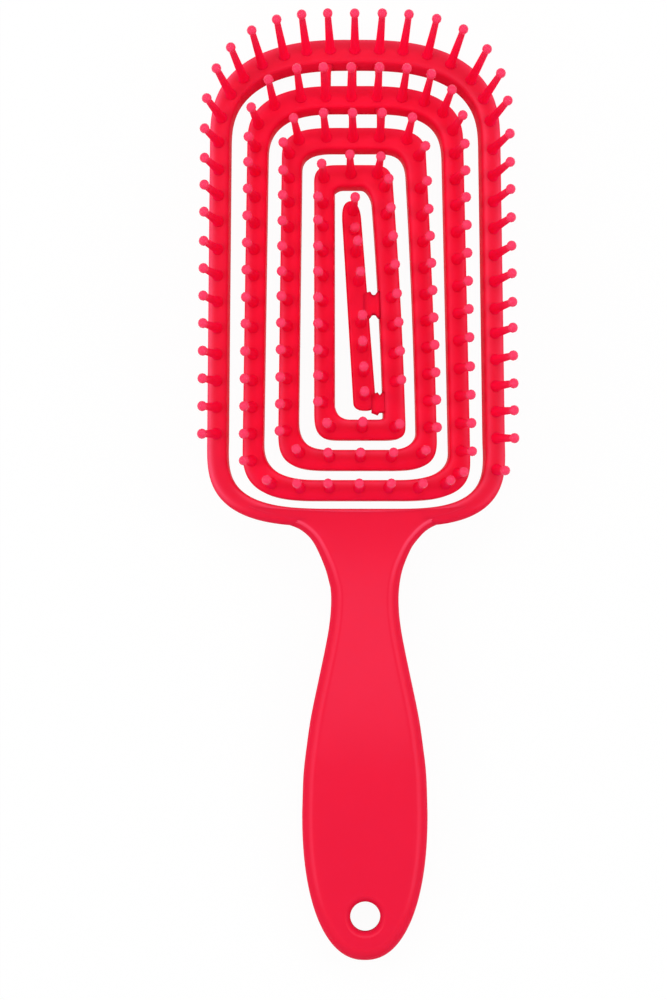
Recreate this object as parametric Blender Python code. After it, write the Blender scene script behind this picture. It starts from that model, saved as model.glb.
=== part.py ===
"""Vented hair brush with ball-tipped pins, lying on its back with the pins up.

The handle and the outer loop are one piece. Three closed rings hang inside the loop, one in the
other, each from narrow flexible links at its top, and a bar is bridged to the innermost ring.
X is across the brush, +Y runs from the handle to the head, +Z is the side with the pins.
Lengths are metres. Every band is laid out flat first, and then the head is curved.
"""
from math import atan2, cos, hypot, pi, radians, sin, sqrt, tan

import bmesh
import bpy
import numpy as np
from mathutils import Vector

MM = 0.001
GAP = 0.3 * MM
LYING = "lying_pose"
CHAMFER_SHARE = 0.3

# Bands of the head. The head curves down from CURVE_START_Y to its top.
BAND_THICKNESS = 4.5 * MM
BAND_CHAMFER = 0.7 * MM
CURVE_START_Y = 11.5 * MM
CURVE_RADIUS = 294.0 * MM
STRAIGHT_STEPS = 5
CORNER_STEPS = 9
FINE_CORNER_STEPS = 40

# Pins, from the face of the band to the middle of the ball
PIN_HEIGHT = 15.2 * MM
PIN_SIDES = 6
PIN_BASE_RADIUS = 1.25 * MM
PIN_NECK_RADIUS = 0.92 * MM
PIN_BALL_RADIUS = 1.40 * MM
PIN_CROWN_RADIUS = 0.70 * MM
PIN_ROOT = 1.0 * MM

# Four runs of each band's middle line: left, top, right and bottom, clockwise from above, in
# millimetres. Bows are how far each run bulges outwards in its middle, and squareness is that of
# the corner after each run: 2 is an ellipse, more is squarer. An edge's runs lie its reaches
# outwards of the middle's, and start and finish earlier and later by its starts.
LOOPS = {
    "outer": dict(
        runs=[((-37.3, 10.0), (-36.6, 91.3)), ((-5.0, 119.3), (2.0, 119.3)),
              ((35.8, 88.4), (36.9, 9.0)), ((10.0, -8.1), (-5.0, -8.1))],
        bows=(0, 0, 0, 0), squareness=(2.3, 2.67, 2.62, 2.77),
        outer_edge=dict(reaches=(3.0, 4.0, 3.0, 2.1), squareness=(2.6, 2.7, 2.9, 3.05),
                        starts=((-3.0, 3.2), (-3.2, -3.2), (5.1, -2.6), (0.4, 0.5))),
        inner_edge=dict(reaches=(-2.25, -3.8, -2.3, -2.6), squareness=(2.65, 2.75, 3.2, 3.3),
                        starts=((-3.7, 1.5), (-3.7, -2.5), (4.1, -4.0), (-1.4, -1.2)))),
    "ring_2": dict(
        runs=[((-27.7, 11.0), (-26.5, 91.3)), ((-7.0, 106.4), (4.0, 106.4)),
              ((25.7, 89.8), (27.4, 10.0)), ((13.0, -0.7), (-12.0, -0.7))],
        bows=(0, 0, 0, 0), squareness=(2.72, 2.82, 2.7, 2.57),
        outer_edge=dict(reaches=(3.0, 3.45, 3.0, 2.5), squareness=(2.5, 2.7, 3.1, 3.0),
                        starts=((-0.3, 2.6), (-2.0, -2.6), (3.3, 1.3), (-2.7, -2.5))),
        inner_edge=dict(reaches=(-2.5, -3.4, -2.5, -3.0), squareness=(2.65, 3.1, 2.4, 2.6),
                        starts=((-1.1, -2.0), (-2.0, -1.6), (-2.1, 0.4), (-2.4, -2.2)))),
    "ring_3": dict(
        runs=[((-18.6, 16.0), (-17.7, 87.0)), ((-7.0, 94.6), (5.0, 94.6)),
              ((16.05, 87.0), (18.8, 14.7)), ((9.0, 7.65), (-5.0, 7.65))],
        bows=(0, 0, 0.3, 0), squareness=(3.1, 3.05, 2.5, 2.5),
        outer_edge=dict(reaches=(2.55, 3.2, 2.6, 2.8), squareness=(3.1, 3.15, 3.35, 3.6),
                        starts=((-0.7, 1.6), (-1.9, -2.1), (2.4, 0.3), (-1.3, 0.4))),
        inner_edge=dict(reaches=(-2.75, -3.0, -2.75, -2.7), squareness=(2.55, 3.15, 2.05, 2.85),
                        starts=((-2.7, -1.2), (-0.6, -0.1), (-4.6, -0.2), (-0.1, 1.4)))),
    "ring_4": dict(
        runs=[((-8.8, 21.0), (-8.8, 80.5)), ((-5.0, 84.5), (3.0, 84.5)),
              ((6.8, 80.1), (10.0, 19.5)), ((5.5, 15.6), (-3.5, 15.6))],
        bows=(0, 0, 0.35, 0), squareness=(2.2, 2.4, 3.0, 2.3),
        outer_edge=dict(reaches=(2.75, 2.85, 2.95, 2.65), squareness=(3.25, 3.35, 4.35, 3.5),
                        starts=((-0.5, 1.1), (-0.2, 0.3), (0.3, 0.7), (0.1, 0.9))),
        inner_edge=dict(reaches=(-2.6, -3.2, -2.8, -2.85), squareness=(1.6, 1.95, 2.7, 2.1),
                        starts=((-1.5, -0.6), (-1.2, -2.1), (-3.9, 0.2), (-0.4, -1.7)))),
}

# How far each band's pins stand outside its middle line, in millimetres, and how far its face
# and its pins lean outwards, in degrees, each at its left, top, right and bottom run. Relief is
# the share of the head's curve that its pins don't follow. In its corners its pins lean further.
BANDS = {
    "outer": dict(pin_shifts=(0.3, 0.0, 0.4, 0.4), leans=(14.3, 19.8, 18.0, 0.0),
                  relief=(0.12, 0.08, -0.05, 0), corner_lean=3),
    "ring_2": dict(pin_shifts=(0.5, -0.5, 0.3, -0.9), leans=(7.7, 15.3, 11.1, -5.0),
                   relief=(0.3, 0.15, 0.3, 0), corner_lean=0),
    "ring_3": dict(pin_shifts=(0.3, 0.1, 0.4, -0.8), leans=(6.6, 10.8, 8.0, -5.0),
                   relief=(0.38, 0.12, 0.42, 0), corner_lean=0),
    "ring_4": dict(pin_shifts=(0.25, 0.1, 0.4, -0.7), leans=(5.2, 9.0, 6.5, -5.0),
                   relief=(0.4, 0.25, 0.45, 0), corner_lean=0),
}
CORNER_PIN_SHIFT = 0.7 * MM

# Runs of pins on each band, evenly spaced along it: first pin, last pin, how many, and their
# share of the band's sideways lean.
PIN_RUNS = {
    "outer": [((-37.5, 14.6), (-37.2, 64.1), 8, 1), ((-37.1, 71.6), (-36.8, 85.7), 3, 1),
              ((-36.7, 93.4), (-33.6, 106.7), 3, 1), ((-30.5, 111.6), (-13.5, 118.7), 4, 1),
              ((-7.2, 119.4), (24.7, 114.9), 6, 1), ((30.4, 110.9), (35.7, 99.2), 3, 1),
              ((36.1, 91.3), (36.7, 47.9), 7, 1), ((36.8, 41.3), (37.3, 13.3), 5, 1),
              ((37.2, 4.9), (37.2, 4.9), 1, 0.4)],
    "ring_2": [((-28.1, 7.3), (-27.2, 85.3), 12, 1), ((-26.9, 92.0), (-21.5, 103.0), 3, 1),
               ((-14.9, 104.8), (12.0, 105.4), 5, 1), ((17.6, 103.9), (25.5, 96.6), 3, 1),
               ((25.7, 90.0), (26.1, 75.8), 3, 1), ((26.3, 68.5), (27.9, 9.9), 9, 1),
               ((27.5, 3.7), (23.3, 1.7), 2, 0.5), ((16.3, 0.6), (-22.9, 1.4), 6, 0.7)],
    "ring_3": [((-18.8, 15.4), (-18.5, 50.3), 6, 1), ((-18.4, 56.7), (-17.5, 90.1), 6, 1),
               ((-15.3, 93.7), (13.1, 93.8), 5, 1), ((16.3, 89.4), (16.9, 80.6), 2, 1),
               ((17.2, 73.1), (18.9, 16.2), 9, 1), ((17.2, 9.3), (-15.6, 9.0), 5, 0.6)],
    "ring_4": [((-9.1, 23.0), (-9.1, 70.3), 8, 1), ((-9.1, 76.5), (-9.1, 76.5), 1, 1),
               ((-8.5, 83.4), (-8.5, 83.4), 1, 0.5), ((-1.6, 84.5), (5.2, 84.2), 2, 1),
               ((7.3, 81.1), (10.4, 28.6), 8, 1),
               ((9.7, 16.6), (-6.9, 16.7), 3, 0.8)],
}

# Links: narrow flexible webs across the gap at the top of two bands, at places along X
LINK_WIDTH = 1.6 * MM
LINK_THICKNESS = 1.6 * MM
LINKS = {
    "frame_link": dict(bands=("outer", "ring_2"), places=dict(left=-7.9, middle=-0.9, right=5.8)),
    "ring_link": dict(bands=("ring_2", "ring_3"), places=dict(left=-8.8, middle=-1.4, right=6.2)),
    "inner_link": dict(bands=("ring_3", "ring_4"), places=dict(middle=-1.8)),
}

# Centre bar and its bridges. Its stations are a place along Y and its left and right edges there.
BAR_STATIONS = [(77.2, -2.2, -0.8), (76.6, -3.1, -0.1), (75.4, -3.8, 0.5), (73.0, -4.1, 1.0),
                (62.0, -3.4, 2.2), (51.6, -2.8, 3.2), (40.0, -2.1, 3.9), (31.0, -1.6, 4.5),
                (23.0, -1.1, 4.9), (21.4, -0.5, 4.95), (20.7, 0.4, 4.9)]
BAR_PIN_FEET = [(-1.1, 74.5), (-0.35, 63.3), (0.35, 55.4), (1.05, 44.3), (1.35, 37.7),
                (1.65, 31.2), (1.95, 24.9)]
BAR_PIN_LEANS = (2.3, 2.3, 2.2, 1.6, 0.8, 0.5, 0.3)
BAR_PIN_RISE = radians(1.5)
BAR_STUB_FOOT = (-0.7, 69.3)
BAR_STUB_HEIGHT = 3.0 * MM
BRIDGES = {"bar_bridge_upper": (47.2, 50.8), "bar_bridge_lower": (20.7, 24.1)}
BRIDGE_WALL_ROOM = 0.35 * MM

# Handle
HANDLE_AXIS_X = 2.1 * MM
HANDLE_EDGE = [(30.0, -6.9), (27.0, -8.1), (24.9, -8.8), (21.7, -9.6), (18.5, -11.3),
               (16.0, -13.9), (14.2, -16.6), (12.1, -21.9), (11.2, -27.3), (11.2, -32.6),
               (11.8, -37.9), (12.8, -43.3), (13.9, -48.6), (16.4, -60.6), (17.6, -68.6),
               (18.5, -76.6), (18.85, -86.6)]
SHOULDER_EDGE = [(-29.5, -6.9), (-26.5, -8.0), (-24.1, -8.7), (-20.9, -9.3), (-17.9, -9.9),
                 (-14.5, -11.5), (-11.5, -14.7), (-8.6, -21.1), (-7.1, -26.5)]
HANDLE_END_Y = -126.0 * MM
HANDLE_END_SQUARENESS = 2.26
HANDLE_END_STEPS = 9
HANDLE_LAST_TURN = radians(86)
HANDLE_EDGE_RADIUS = 2.8 * MM
HANDLE_BACK_CHAMFER = 2.0 * MM
HANDLE_CROWN = 0.6 * MM
HANDLE_DEPTH = 10.0 * MM
HANDLE_DEEP_Y = (-8.0 * MM, -30.0 * MM)
HOLE_PLACE = (2.2 * MM, -114.3 * MM)
HOLE_RADIUS = 4.0 * MM
HOLE_RIM_RADIUS = 5.2 * MM
HOLE_RIM_DEPTH = 1.2 * MM
HOLE_SIDES = 16

# Where the middle of the brush's box lies in the layout that the numbers above use
BOX_MIDDLE = (0.30 * MM, 1.34 * MM)

FRAME_PINK = (0.86, 0.016, 0.058)
RING_PINK = (0.80, 0.010, 0.042)
BAR_PINK = (0.78, 0.009, 0.038)


def clear_scene():
    """Remove what the file opens with."""
    for thing in list(bpy.data.objects):
        bpy.data.objects.remove(thing)


def plastic(name, colour):
    """Glossy moulded plastic."""
    material = bpy.data.materials.new(name)
    material.use_nodes = True
    shader = material.node_tree.nodes["Principled BSDF"]
    shader.inputs["Base Color"].default_value = (*colour, 1)
    shader.inputs["Roughness"].default_value = 0.32
    return material


def corner(start, finish, before, after, squareness, steps):
    """A quarter of a superellipse from start to finish, tangent to the runs on both sides."""
    crossing = np.linalg.solve(np.column_stack((before, -after)), finish - start)
    apex = start + before * crossing[0]
    middle = start + finish - apex
    turns = np.linspace(0, pi / 2, steps + 2)[1:-1]
    return [middle + (apex - finish) * cos(turn) ** (2 / squareness)
            + (apex - start) * sin(turn) ** (2 / squareness) for turn in turns]


def loop_path(name, edge=None, corner_steps=CORNER_STEPS):
    """Closed middle line or edge of a band, as points on the flat, clockwise from its left run."""
    loop = LOOPS[name]
    middle = dict(reaches=(0,) * 4, starts=((0, 0),) * 4, squareness=loop["squareness"])
    shape = loop[edge] if edge else middle
    runs, sides = [], []
    for (start, finish), reach, (early, late) in zip(loop["runs"], shape["reaches"],
                                                     shape["starts"]):
        start, finish = np.array(start) * MM, np.array(finish) * MM
        along = (finish - start) / hypot(*(finish - start)) * MM
        side = np.array((-along[1], along[0]))
        runs.append((start + side * reach - along * early, finish + side * reach + along * late))
        sides.append(side)
    points = []
    for index, (start, finish) in enumerate(runs):
        following = runs[(index + 1) % 4]
        bulge = sides[index] * loop["bows"][index]
        points += [start + (finish - start) * part + bulge * 4 * part * (1 - part)
                   for part in np.linspace(0, 1, STRAIGHT_STEPS + 1)]
        points += corner(finish, following[0], finish - start, following[1] - following[0],
                         shape["squareness"][index], corner_steps)
    return np.array(points)


def outward(path):
    """Unit normals of a closed clockwise path, pointing out of it."""
    along = np.roll(path, -1, axis=0) - np.roll(path, 1, axis=0)
    normals = np.column_stack((-along[:, 1], along[:, 0]))
    return normals / np.linalg.norm(normals, axis=1)[:, None]


def distance_to(path, point, normal):
    """Distance from a point along a direction to where it first crosses a closed path."""
    pieces = np.roll(path, -1, axis=0) - path
    gaps = path - point
    facing = normal[0] * pieces[:, 1] - normal[1] * pieces[:, 0]
    met = np.abs(facing) > 0
    pieces, gaps, facing = pieces[met], gaps[met], facing[met]
    distances = (gaps[:, 0] * pieces[:, 1] - gaps[:, 1] * pieces[:, 0]) / facing
    shares = (gaps[:, 0] * normal[1] - gaps[:, 1] * normal[0]) / facing
    crossed = distances[(shares > -0.001) & (shares < 1.001)]
    return crossed[np.argmin(np.abs(crossed))]


def by_side(values, normal):
    """Blend the left, top, right and bottom values for a band's outward normal."""
    left, top, right, bottom = values
    side = left if normal[0] < 0 else right
    far = top if normal[1] > 0 else bottom
    return side * normal[0] ** 2 + far * normal[1] ** 2


def face_axes(name, place, normal, share=1, relief=(0, 0, 0, 0)):
    """Directions across a band's face, outwards, and out of it, at a place with this normal.

    The sideways lean grows with x, and the lean along the brush with the normal's y. Relief
    takes back a share of the head's curve.
    """
    left, top, right, bottom = np.tan(np.radians(BANDS[name]["leans"]))
    runs = LOOPS[name]["runs"]
    x, y = place[:2]
    reach, side = (-runs[0][0][0] * MM, left) if x < 0 else (runs[2][1][0] * MM, right)
    rise = normal[1] * (top if normal[1] > 0 else bottom)
    rise -= by_side(relief, normal) * tan(max(y - CURVE_START_Y, 0) / CURVE_RADIUS)
    out = np.array((x / reach * side * share, rise, 1))
    out /= np.linalg.norm(out)
    across = np.array((*normal, 0)) - out * (out[:2] @ normal)
    return across / np.linalg.norm(across), out


def curved(point):
    """Bend a flat point down with the head's curve."""
    x, y, z = point
    if y > CURVE_START_Y:
        turn = (y - CURVE_START_Y) / CURVE_RADIUS
        y = CURVE_START_Y + (CURVE_RADIUS + z) * sin(turn)
        z = (CURVE_RADIUS + z) * cos(turn) - CURVE_RADIUS
    return np.array((x, y, z))


def lying_pose():
    """Turn and shift that lay the brush on its back, on its head's tip and its handle's end."""
    middle = np.array((0, LOOPS["outer"]["runs"][1][0][1] * MM, 0))
    across, out = face_axes("outer", middle, (0, 1))
    reach = LOOPS["outer"]["outer_edge"]["reaches"][1] * MM
    tip = curved(middle + across * reach - out * BAND_THICKNESS)
    heel_y, left_x, right_x = handle_stations()[-1]
    heel = min(handle_section(heel_y, left_x, right_x), key=lambda point: point[2])
    turn = atan2(heel[2] - tip[2], tip[1] - heel[1])
    lift = -(tip[1] * sin(turn) + tip[2] * cos(turn))
    return turn, (-BOX_MIDDLE[0], -BOX_MIDDLE[1], lift)


def skin(bm, rings, closed_along=False):
    """Join rings of points into a tube, with flat caps unless it closes on itself."""
    layers = [[bm.verts.new(curved(point)) for point in ring] for ring in rings]
    pairs = list(zip(layers, layers[1:] + layers[:1])) if closed_along else zip(layers, layers[1:])
    for low, high in pairs:
        for index in range(len(low)):
            following = (index + 1) % len(low)
            bm.faces.new((low[index], low[following], high[following], high[index]))
    if not closed_along:
        bm.faces.new(layers[0][::-1])
        bm.faces.new(layers[-1])


def add_object(name, bm, material, pivot=(0, 0, 0)):
    """Make a mesh object with its origin at pivot and its faces turned outwards."""
    bmesh.ops.recalc_face_normals(bm, faces=bm.faces)
    bmesh.ops.translate(bm, verts=bm.verts, vec=-Vector(pivot))
    mesh = bpy.data.meshes.new(name)
    bm.to_mesh(mesh)
    bm.free()
    mesh.materials.append(material)
    thing = bpy.data.objects.new(name, mesh)
    thing.location = pivot
    thing.parent = bpy.data.objects[LYING]
    bpy.context.collection.objects.link(thing)
    return thing


def combine(thing, tool, operation):
    """Join a tool to an object or cut it out, and keep the tool as a guide."""
    boolean = thing.modifiers.new(tool.name, "BOOLEAN")
    boolean.operation = operation
    boolean.object = tool
    tool.hide_render = True
    tool.display_type = "WIRE"


def band_section(low, high):
    """Corners of a band's section from low to high across: across, and out of its face."""
    return [(high, -BAND_CHAMFER), (high - BAND_CHAMFER, 0), (low + BAND_CHAMFER, 0),
            (low, -BAND_CHAMFER), (low, -BAND_THICKNESS), (high, -BAND_THICKNESS)]


def band(name, material, node, pivot=(0, 0, 0)):
    """One closed band: its section carried along its inner edge, out to its outer edge."""
    inner = loop_path(name, "inner_edge")
    outer = loop_path(name, "outer_edge", FINE_CORNER_STEPS)
    middle = loop_path(name, None, FINE_CORNER_STEPS)
    rings = []
    for point, normal in zip(inner, outward(inner)):
        inside = distance_to(middle, point, normal)
        width = distance_to(outer, point, normal)
        centre = np.array((*(point + normal * inside), 0.0))
        across, out = face_axes(name, centre, normal)
        rings.append([centre + across * a + out * b
                      for a, b in band_section(-inside, width - inside)])
    bm = bmesh.new()
    skin(bm, rings, closed_along=True)
    return add_object(node, bm, material, pivot)


def add_pin(bm, foot, out, height):
    """One ball-tipped pin, standing on foot along the unit direction out."""
    side = np.cross(out, (0.0, 1.0, 0.0))
    side /= np.linalg.norm(side)
    other = np.cross(out, side)
    profile = [(-PIN_ROOT, PIN_BASE_RADIUS),
               (height - PIN_BALL_RADIUS * 0.8, PIN_NECK_RADIUS),
               (height, PIN_BALL_RADIUS),
               (height + PIN_BALL_RADIUS * 0.95, PIN_CROWN_RADIUS)]
    turns = [2 * pi * step / PIN_SIDES for step in range(PIN_SIDES)]
    skin(bm, [[foot + out * level + (side * cos(turn) + other * sin(turn)) * radius
               for turn in turns] for level, radius in profile])


def loop_pins(name):
    """Feet and directions of a band's pins, evenly spaced along each run of them."""
    path = loop_path(name)
    closed = np.vstack((path, path[:1]))
    steps = np.linalg.norm(np.diff(closed, axis=0), axis=1)
    travelled = np.concatenate(([0], np.cumsum(steps)))
    normals = outward(path)
    normals = np.vstack((normals, normals[:1]))

    def nearest(place):
        """Distance along the path of the spot nearest to a place."""
        ends = closed[1:] - closed[:-1]
        reach = ((np.array(place) * MM - closed[:-1]) * ends).sum(axis=1) / steps ** 2
        reach = np.clip(reach, 0, 1)
        spots = closed[:-1] + ends * reach[:, None]
        index = np.argmin(np.linalg.norm(spots - np.array(place) * MM, axis=1))
        return travelled[index] + reach[index] * steps[index]

    pins = []
    for first, last, count, share in PIN_RUNS[name]:
        start, finish = nearest(first), nearest(last)
        if finish < start:
            finish += travelled[-1]
        for distance in np.linspace(start, finish, count) % travelled[-1]:
            foot = [np.interp(distance, travelled, closed[:, axis]) for axis in (0, 1)]
            normal = np.array([np.interp(distance, travelled, normals[:, axis]) for axis in (0, 1)])
            normal /= hypot(*normal)
            across, out = face_axes(name, foot, normal, share, BANDS[name]["relief"])
            cornering = 2 * abs(normal[0] * normal[1])
            out[:2] += normal * cornering * tan(radians(BANDS[name]["corner_lean"]))
            out /= np.linalg.norm(out)
            shift = by_side(BANDS[name]["pin_shifts"], normal) * MM
            shift += CORNER_PIN_SHIFT * cornering
            pins.append((np.array((*foot, 0)) + across * shift, out, PIN_HEIGHT))
    return pins


def pins_on(thing, pins, material):
    """Fuse pins with the band that carries them."""
    bm = bmesh.new()
    for foot, out, height in pins:
        add_pin(bm, foot, out, height)
    combine(thing, add_object(thing.name + "_pins", bm, material), "UNION")


def smooth_edge(points, steps=3):
    """A smooth curve through points, by Catmull and Rom's rule."""
    known = np.array(points) * MM
    padded = np.vstack((2 * known[0] - known[1], known, 2 * known[-1] - known[-2]))
    curve = []
    for index in range(len(known) - 1):
        a, b, c, d = padded[index:index + 4]
        for part in np.linspace(0, 1, steps, endpoint=False):
            curve.append(0.5 * (2 * b + (c - a) * part + (2 * a - 5 * b + 4 * c - d) * part ** 2
                                + (3 * b - a - 3 * c + d) * part ** 3))
    curve.append(known[-1])
    return np.array(curve)


def handle_stations():
    """Left and right edges of the handle at places along it, from the head to the end."""
    right = smooth_edge(HANDLE_EDGE)
    left = smooth_edge(SHOULDER_EDGE)
    stations = []
    for x, y in right:
        if y > left[-1, 1]:
            left_x = np.interp(-y, -left[:, 1], left[:, 0])
        else:
            left_x = 2 * HANDLE_AXIS_X - x
        stations.append((y, left_x, x))
    widest_y, half = right[-1, 1], right[-1, 0] - HANDLE_AXIS_X
    for turn in np.linspace(0, HANDLE_LAST_TURN, HANDLE_END_STEPS + 1)[1:]:
        reach = sin(turn) ** (2 / HANDLE_END_SQUARENESS)
        spread = half * cos(turn) ** (2 / HANDLE_END_SQUARENESS)
        y = widest_y + (HANDLE_END_Y - widest_y) * reach
        stations.append((y, HANDLE_AXIS_X - spread, HANDLE_AXIS_X + spread))
    return stations


def handle_depth(y):
    """Thickness of the handle: as the band at the head, and down to the back by the neck."""
    start, finish = HANDLE_DEEP_Y
    part = min(max((start - y) / (start - finish), 0), 1)
    eased = part * part * (3 - 2 * part)
    return BAND_THICKNESS + (HANDLE_DEPTH - BAND_THICKNESS) * eased


def handle_section(y, left_x, right_x):
    """Cross-section of the handle: flat back, rounded edges and a slightly crowned face."""
    depth = handle_depth(y)
    crown = HANDLE_CROWN * depth / HANDLE_DEPTH
    rise = min(HANDLE_EDGE_RADIUS, depth * 0.4)
    inset = min(HANDLE_EDGE_RADIUS, (right_x - left_x) * CHAMFER_SHARE)
    lift = min(HANDLE_BACK_CHAMFER, depth * CHAMFER_SHARE)
    tuck = min(lift, inset)
    quarter = 1 - sqrt(0.5)
    half = [(0, -rise - crown), (inset * quarter, -rise * quarter - crown), (inset, -crown)]
    top = [(left_x + a, z) for a, z in half] + [((left_x + right_x) / 2, 0)]
    top += [(right_x - a, z) for a, z in reversed(half)]
    bottom = [(right_x, lift - depth), (right_x - tuck, -depth), (left_x + tuck, -depth),
              (left_x, lift - depth)]
    return [(x, y, z) for x, z in top + bottom]


def hang_hole():
    """Cutter for the hang hole: a bore with a flared rim at its top, a little past both faces."""
    x, y = HOLE_PLACE
    slope = (HOLE_RIM_RADIUS - HOLE_RADIUS) / HOLE_RIM_DEPTH
    past = 1 * MM
    profile = [(-HANDLE_DEPTH - past, HOLE_RADIUS), (-HOLE_RIM_DEPTH, HOLE_RADIUS),
               (past, HOLE_RADIUS + slope * (HOLE_RIM_DEPTH + past))]
    turns = np.linspace(0, 2 * pi, HOLE_SIDES, endpoint=False)
    bm = bmesh.new()
    skin(bm, [[(x + radius * cos(turn), y + radius * sin(turn), z) for turn in turns]
              for z, radius in profile])
    return bm


def make_handle_frame(material):
    """Handle, shoulders and outer loop in one, with the loop's pins and the hang hole."""
    frame = band("outer", material, "handle_frame")
    bm = bmesh.new()
    skin(bm, [handle_section(*station) for station in handle_stations()])
    combine(frame, add_object("handle_shape", bm, material), "UNION")
    combine(frame, add_object("hang_hole_cutter", hang_hole(), material), "DIFFERENCE")
    pins_on(frame, loop_pins("outer"), material)
    return frame


def by_wall(name, edge, x):
    """A point just off the middle of a band's wall in its top run, and the wall's own upright."""
    path, normals = loop_path(name), outward(loop_path(name))
    top = normals[:, 1] > 0.7
    y, *normal = [np.interp(x, path[top, 0], values[top])
                  for values in (path[:, 1], normals[:, 0], normals[:, 1])]
    normal = np.array(normal) / hypot(*normal)
    across, out = face_axes(name, (x, y), normal)
    reach = distance_to(loop_path(name, edge, FINE_CORNER_STEPS), np.array((x, y)), normal)
    reach += GAP if edge == "outer_edge" else -GAP
    return np.array((x, y, 0)) + across * reach - out * BAND_THICKNESS / 2, out


def make_ring(name, bands, material):
    """One closed ring with its pins. It turns about the middle of the links that hold it."""
    ends = by_wall(bands[0], "inner_edge", 0)[0], by_wall(bands[1], "outer_edge", 0)[0]
    ring = band(name, material, name, curved((ends[0] + ends[1]) / 2))
    pins_on(ring, loop_pins(name), material)


def make_link(name, x, bands, material):
    """A narrow flexible web across the gap between two bands, behind their faces."""
    side = np.array((LINK_WIDTH / 2, 0, 0))
    bm = bmesh.new()
    skin(bm, [[end + side * a + up * LINK_THICKNESS / 2 * b
               for a, b in ((-1, -1), (1, -1), (1, 1), (-1, 1))]
              for end, up in (by_wall(bands[0], "inner_edge", x * MM),
                              by_wall(bands[1], "outer_edge", x * MM))])
    add_object(name, bm, material)


def bar_right_x(y):
    """Right edge of the centre bar."""
    return np.interp(-y, [-station[0] for station in BAR_STATIONS],
                     [station[2] for station in BAR_STATIONS])


def bar_section(y, left, right):
    """Cross-section of the centre bar, chamfered along both edges of its face."""
    chamfer = min(BAND_CHAMFER / MM, (right - left) * CHAMFER_SHARE)
    section = [(left, -chamfer), (left + chamfer, 0), (right - chamfer, 0), (right, -chamfer),
               (right, -BAND_THICKNESS / MM), (left, -BAND_THICKNESS / MM)]
    return [np.array((x, y, z)) * MM for x, z in section]


def ring_4_inner_x(y):
    """Inner edge of ring 4's right run."""
    edge = loop_path("ring_4", "inner_edge", FINE_CORNER_STEPS) / MM
    run = edge[edge[:, 0] > BAR_STATIONS[-1][2] - 1]
    return np.interp(-y, -run[:, 1], run[:, 0])


def make_bridge(name, low_y, high_y, material):
    """A short bridge from ring 4 to the centre bar."""
    middle = (low_y + high_y) / 2
    left = bar_right_x(middle) * MM + GAP
    right = ring_4_inner_x(middle) * MM - GAP - BRIDGE_WALL_ROOM
    bm = bmesh.new()
    skin(bm, [[(left, y * MM, -BAND_THICKNESS), (right, y * MM, -BAND_THICKNESS),
               (right, y * MM, 0), (left, y * MM, 0)] for y in (low_y, high_y)])
    add_object(name, bm, material)


def make_centre_bar(material):
    """Centre bar with its single row of pins, one of them only a low stub."""
    bm = bmesh.new()
    skin(bm, [bar_section(*station) for station in BAR_STATIONS])
    bar = add_object("centre_bar", bm, material)
    pins = []
    for (x, y), lean in zip(BAR_PIN_FEET, np.radians(BAR_PIN_LEANS)):
        out = np.array((sin(lean), sin(BAR_PIN_RISE), cos(lean)))
        pins.append((np.array((x, y, 0)) * MM, out / np.linalg.norm(out), PIN_HEIGHT))
    pins.append((np.array((*BAR_STUB_FOOT, 0)) * MM, pins[0][1], BAR_STUB_HEIGHT))
    pins_on(bar, pins, material)


def main():
    """Build every piece, and lay the brush on its back."""
    clear_scene()
    pose = bpy.data.objects.new(LYING, None)
    bpy.context.collection.objects.link(pose)
    pose.rotation_euler.x, pose.location = lying_pose()
    frame_plastic = plastic("frame_plastic", FRAME_PINK)
    ring_plastic = plastic("ring_plastic", RING_PINK)
    bar_plastic = plastic("bar_plastic", BAR_PINK)
    make_handle_frame(frame_plastic)
    for group, link in LINKS.items():
        make_ring(link["bands"][1], link["bands"], ring_plastic)
        for place, x in link["places"].items():
            name = group if len(link["places"]) == 1 else group + "_" + place
            make_link(name, x, link["bands"], ring_plastic)
    make_centre_bar(bar_plastic)
    for name, (low_y, high_y) in BRIDGES.items():
        make_bridge(name, low_y, high_y, bar_plastic)


main()
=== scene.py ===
"""Looks of the vented hair brush: moulded pink plastic, lying on its back with its pins up.

Every piece is first laid out flat, with X across the brush, +Y towards the head and +Z out of
the face. The head is then bent down, and the whole is laid on the floor, as the solids are.
Lengths are metres.
"""
from math import pi, radians

import bmesh
import bpy
import numpy as np
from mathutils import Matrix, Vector


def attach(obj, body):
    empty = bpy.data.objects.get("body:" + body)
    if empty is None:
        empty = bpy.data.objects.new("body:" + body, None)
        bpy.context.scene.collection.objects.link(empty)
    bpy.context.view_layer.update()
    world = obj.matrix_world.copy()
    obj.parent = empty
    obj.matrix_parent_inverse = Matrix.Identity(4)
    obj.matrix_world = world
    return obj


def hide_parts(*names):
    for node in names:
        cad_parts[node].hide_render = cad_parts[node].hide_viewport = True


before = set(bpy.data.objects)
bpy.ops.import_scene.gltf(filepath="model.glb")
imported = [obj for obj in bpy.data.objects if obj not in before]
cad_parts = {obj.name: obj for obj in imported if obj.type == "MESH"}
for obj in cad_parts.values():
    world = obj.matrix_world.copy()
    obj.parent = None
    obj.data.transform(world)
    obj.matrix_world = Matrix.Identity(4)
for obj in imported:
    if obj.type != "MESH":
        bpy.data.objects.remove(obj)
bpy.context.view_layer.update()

# Outer loop of the head: the closed rim of the one big moulding that the handle is part of.
# It is glossy pink polypropylene, 4.5 mm thick, with rounded edges, and its face leans outwards
# at the sides and the top. The two edges are drawn apart, each with its own corners.
MM = 0.001
BAND_THICKNESS = 4.5 * MM
FACE_FILLET = 0.85 * MM
BACK_FILLET = 0.5 * MM
FILLET_STEPS = 4
FACE_STEPS = 6
WALL_PAINTED_SHADE = 0.8
RUN_SAMPLES = 40
CORNER_SAMPLES = 120
PIN_STATIONS = 1440
BAND_STATIONS = 720
CORNER_CROWDING = 6.0 * MM
MEETING_SLACK = 0.001
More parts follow.
